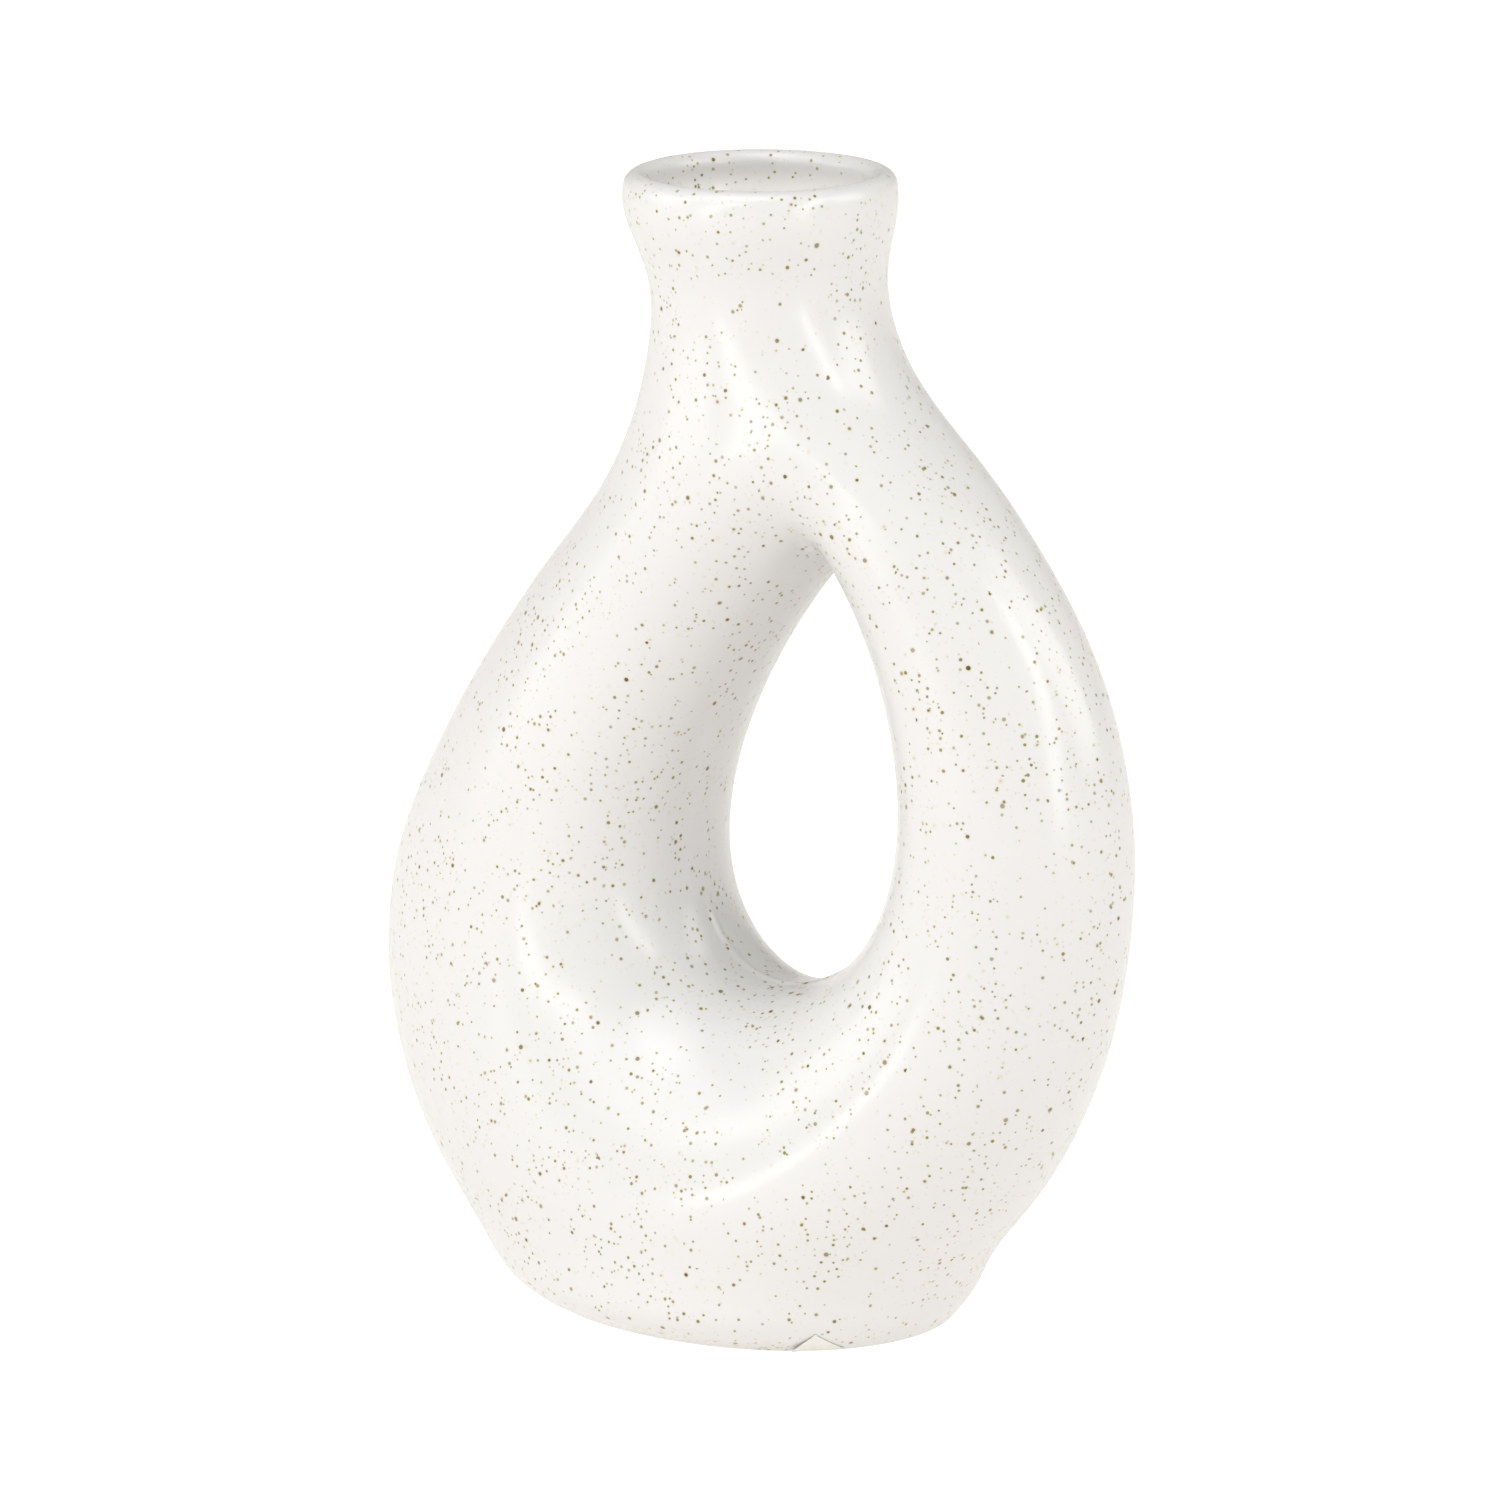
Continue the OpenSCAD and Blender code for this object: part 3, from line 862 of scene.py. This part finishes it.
# Camera: direction in degrees, distance in metres from its target, lens in millimetres, shift
CAMERA_AZIMUTH = 31.75
CAMERA_ELEVATION = 13.93
CAMERA_DISTANCE = 1.506
CAMERA_TARGET = Vector((2, 0, 114.7)) * MM
CAMERA_LENS = 185.6
CAMERA_SENSOR = 36
CAMERA_SHIFT = (-0.0096, -0.0116)
CAMERA_CLIP = (0.05, 20)


def stage_bowl():
    """A pale floor that turns up into a wall far away on every side."""
    profile = [(r, 0.0) for r in FLOOR_RINGS]
    for a in np.linspace(0, math.pi / 2, N_TURN):
        profile.append((FLOOR_R + TURN_R * math.sin(a), TURN_R * (1 - math.cos(a))))
    profile.append((FLOOR_R + TURN_R, WALL_H))
    count = len(profile)
    points = []
    faces = []
    for i in range(N_AROUND):
        a = 2 * math.pi * i / N_AROUND
        points += [(r * math.cos(a), r * math.sin(a), z) for r, z in profile]
        here = i * count
        there = (i + 1) % N_AROUND * count
        faces += [(here + j, there + j, there + j + 1, here + j + 1) for j in range(count - 1)]
    mesh = bpy.data.meshes.new("floor")
    mesh.from_pydata(points, [], faces)
    mesh.polygons.foreach_set("use_smooth", [True] * len(mesh.polygons))
    floor = bpy.data.objects.new("floor", mesh)
    bpy.context.scene.collection.objects.link(floor)
    n = Nodes("pale_floor")
    color = n.mix(n.noise(3, 2), rgb(0.44, 0.44, 0.437), rgb(0.46, 0.46, 0.457))
    n.plug(color, n.shader.inputs["Base Color"])
    n.shader.inputs["Roughness"].default_value = 0.9
    seen = n.add("ShaderNodeLightPath").outputs["Is Camera Ray"]
    glow = n.remap(n.height_above_floor(), 0.0, GLOW_TOP, FLOOR_GLOW, WALL_GLOW)
    n.plug(n.mix(seen, WARM_GLOW, rgb(1, 1, 1)), n.shader.inputs["Emission Color"])
    n.plug(n.remap(seen, 0, 1, glow, STAGE_WHITE), n.shader.inputs["Emission Strength"])
    mesh.materials.append(n.material)


def softbox(name, azimuth, elevation, distance, width, height, power, tilt):
    """An area light aimed at the middle of the vase from a direction given in degrees."""
    light = bpy.data.lights.new(name, "AREA")
    light.shape = "RECTANGLE"
    light.size = width
    light.size_y = height
    light.energy = power
    lamp = bpy.data.objects.new(name, light)
    lamp.location = AIM + towards(azimuth, elevation) * distance
    facing = (AIM - lamp.location).to_track_quat("-Z", "Y")
    tilted = facing @ Quaternion((0, 0, 1), math.radians(tilt))
    lamp.rotation_euler = tilted.to_euler()
    bpy.context.scene.collection.objects.link(lamp)


def towards(azimuth, elevation):
    """Unit vector from the vase: azimuth 0 is the front, and it turns towards +X."""
    a, e = math.radians(azimuth), math.radians(elevation)
    return Vector((math.sin(a) * math.cos(e), -math.cos(a) * math.cos(e), math.sin(e)))


def studio_light():
    world = bpy.data.worlds.new("studio")
    world.use_nodes = True
    background = world.node_tree.nodes["Background"]
    background.inputs["Color"].default_value = WARM_GLOW
    background.inputs["Strength"].default_value = WORLD_GLOW
    bpy.context.scene.world = world
    for name, values in SOFTBOXES.items():
        softbox(name, *values)


def photo_camera():
    camera = bpy.data.cameras.new("camera")
    camera.sensor_width = CAMERA_SENSOR
    camera.lens = CAMERA_LENS
    camera.shift_x, camera.shift_y = CAMERA_SHIFT
    camera.clip_start, camera.clip_end = CAMERA_CLIP
    body = bpy.data.objects.new("camera", camera)
    body.location = CAMERA_TARGET + towards(CAMERA_AZIMUTH, CAMERA_ELEVATION) * CAMERA_DISTANCE
    facing = CAMERA_TARGET - body.location
    body.rotation_euler = facing.to_track_quat("-Z", "Y").to_euler()
    bpy.context.scene.collection.objects.link(body)
    bpy.context.scene.camera = body


# ---------------------------------------------------------------- build

glaze = speckled_glaze("speckled_white_glaze", WHITE, WHITE)
# The liner is painted lighter and warmer below the lip, as light falling into the mouth
liner = speckled_glaze("speckled_liner_glaze", WHITE, PAINTED_LIGHT_WHITE)
clay = bare_stoneware("bare_stoneware")
slip = fired_slip("fired_slip")
paper = label_paper("blank_label_paper")

half_shell("front_shell_smooth", "front_shell", FRONT, clay)
half_shell("rear_shell_smooth", "rear_shell", REAR, clay)
# The liner takes the outer glaze's thickness here, 0.1 mm more than the CAD's liner has
skin("outer_glaze_smooth", "outer_glaze", -GLAZE, 0, 0, 4, glaze, RIDGE_H)
skin("liner_glaze_smooth", "liner_glaze", WALL + GLAZE, WALL, 1, 3, liner)
seam_slip("seam_luting_smooth", "seam_luting", slip)
slab("base_slab_smooth", "base_slab", clay)
label_sheet("blank_label", "base_label", paper)
label_corner("blank_label_corner", "base_label", paper)

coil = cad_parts["base_luting"].data
coil.materials.clear()
coil.materials.append(slip)

stage_bowl()
studio_light()
photo_camera()
bpy.context.scene.view_settings.view_transform = "Standard"
